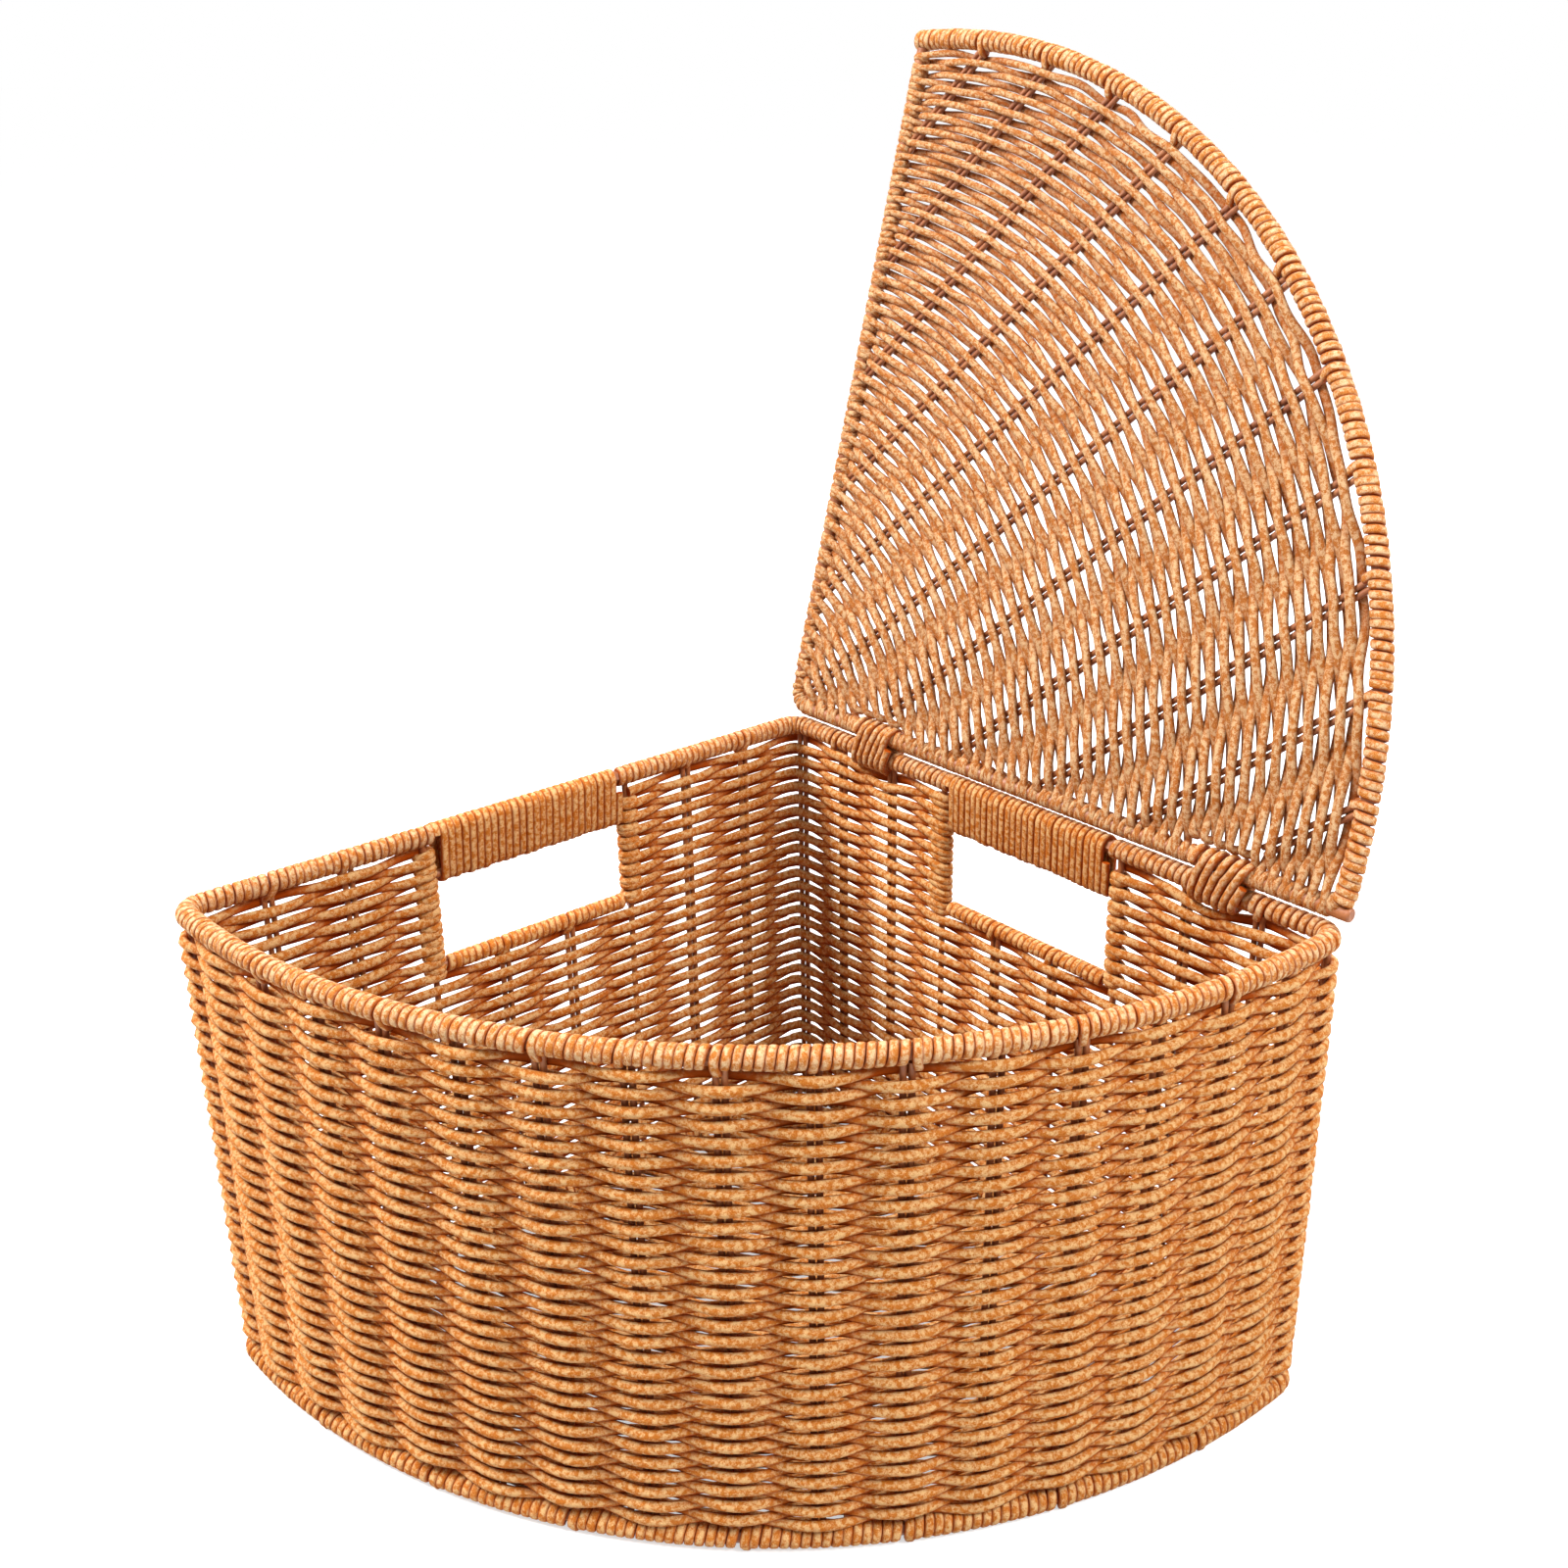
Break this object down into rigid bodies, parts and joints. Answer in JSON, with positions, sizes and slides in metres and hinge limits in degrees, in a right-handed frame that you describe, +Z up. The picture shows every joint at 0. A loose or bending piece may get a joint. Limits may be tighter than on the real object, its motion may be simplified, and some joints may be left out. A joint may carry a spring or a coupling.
{
  "type": "corner storage basket",
  "caption": "Woven corner basket with two straight walls, a curved front, a handle hole in each straight wall and a woven lid hinged on cord bindings.",
  "frame": {"origin": "on the floor, under the middle of the hinge wall's base bar", "axes": "+Z up; +X along the hinge wall, away from the back corner; -Y from the hinge wall to the curved front"},
  "size_m": [0.3305, 0.4147, 0.5402],
  "materials": {
    "weave": "matte twisted paper cord",
    "winding": "matte twisted paper cord",
    "stake": "satin brown",
    "bar": "satin brown"
  },
  "bodies": {
    "basket": {"top_rim_bar": "bar", "base_frame": "bar", "rim_wrap_back": "winding", "rim_wrap_front": "winding", "base_rim_wrap": "winding", "hinge_wall_grip_winding": "winding", "side_wall_grip_winding": "winding", "hinge_wall_sill_wrap": "winding", "side_wall_sill_wrap": "winding", "hinge_binding_1": "winding", "hinge_binding_2": "winding", "hinge_wall_weave": "weave", "side_wall_weave": "weave", "front_wall_weave": "weave", "base_weave": "weave", "hinge_wall_handle_frame": "stake", "side_wall_handle_frame": "stake", "hinge_wall_stake_1": "stake", "hinge_wall_stake_2": "stake", "hinge_wall_stake_7": "stake", "hinge_wall_stake_8": "stake", "side_wall_stake_1": "stake", "side_wall_stake_2": "stake", "side_wall_stake_7": "stake", "side_wall_stake_8": "stake", "corner_stake_back": "stake", "corner_stake_right": "stake", "corner_stake_left": "stake", "front_stake_01": "stake", "front_stake_02": "stake", "front_stake_03": "stake", "front_stake_04": "stake", "front_stake_05": "stake", "front_stake_06": "stake", "front_stake_07": "stake", "front_stake_08": "stake", "front_stake_09": "stake", "front_stake_10": "stake", "front_stake_11": "stake", "front_stake_12": "stake", "front_stake_13": "stake", "front_stake_14": "stake", "front_stake_15": "stake"},
    "lid": {"lid_edge_bar": "bar", "lid_arc_bar": "bar", "lid_arc_wrap": "winding", "lid_weave": "weave", "lid_stake_01": "stake", "lid_stake_02": "stake", "lid_stake_03": "stake", "lid_stake_04": "stake", "lid_stake_05": "stake", "lid_stake_06": "stake", "lid_stake_07": "stake", "lid_stake_08": "stake", "lid_stake_09": "stake", "lid_stake_10": "stake", "lid_stake_11": "stake"}
  },
  "joints": [
    {"name": "lid_hinge", "type": "hinge", "parent": "basket", "child": "lid", "pos_m": [0, 0, 0.226], "axis": [-1, 0, 0], "range_deg": [-105.3, 0]}
  ]
}
